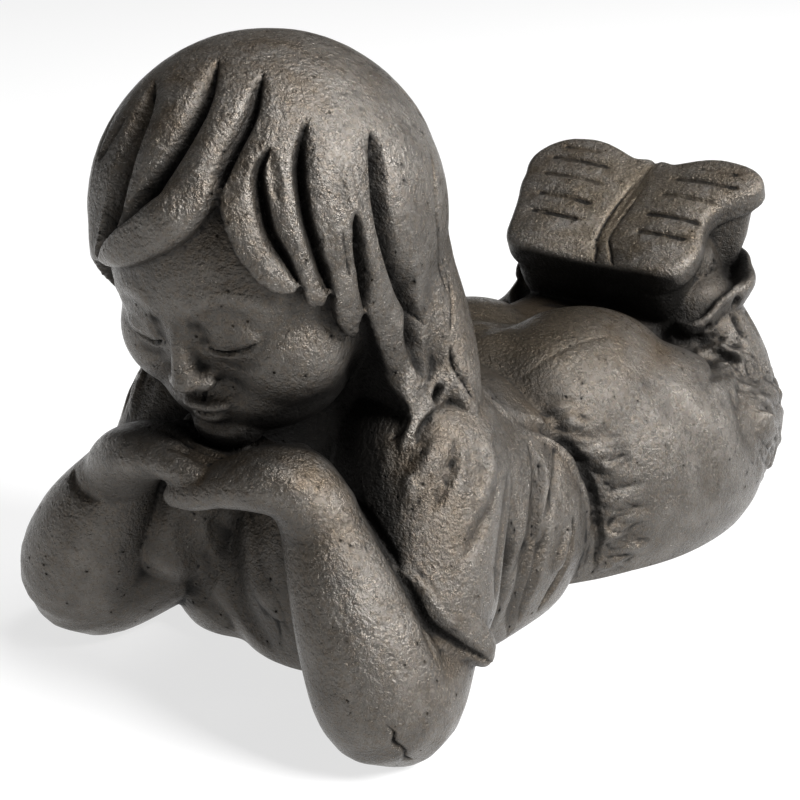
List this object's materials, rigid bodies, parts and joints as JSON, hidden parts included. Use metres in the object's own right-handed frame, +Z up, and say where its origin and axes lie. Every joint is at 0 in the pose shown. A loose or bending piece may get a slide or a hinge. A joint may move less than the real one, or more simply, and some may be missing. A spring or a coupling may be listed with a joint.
{
  "type": "girl statue",
  "caption": "Cast garden figure of a girl lying on her front, chin resting on her stacked hands, feet raised behind.",
  "frame": {"origin": "on the ground under the middle of the figure", "axes": "+Z up, -Y the way she faces, +X her own left side"},
  "size_m": [0.2478, 0.42, 0.2919],
  "materials": {
    "cast_stone": "dark brown bronze-like coat with a satin shine over slightly pitted cast stone"
  },
  "bodies": {
    "root": {"girl_statue": "cast_stone"}
  },
  "joints": []
}
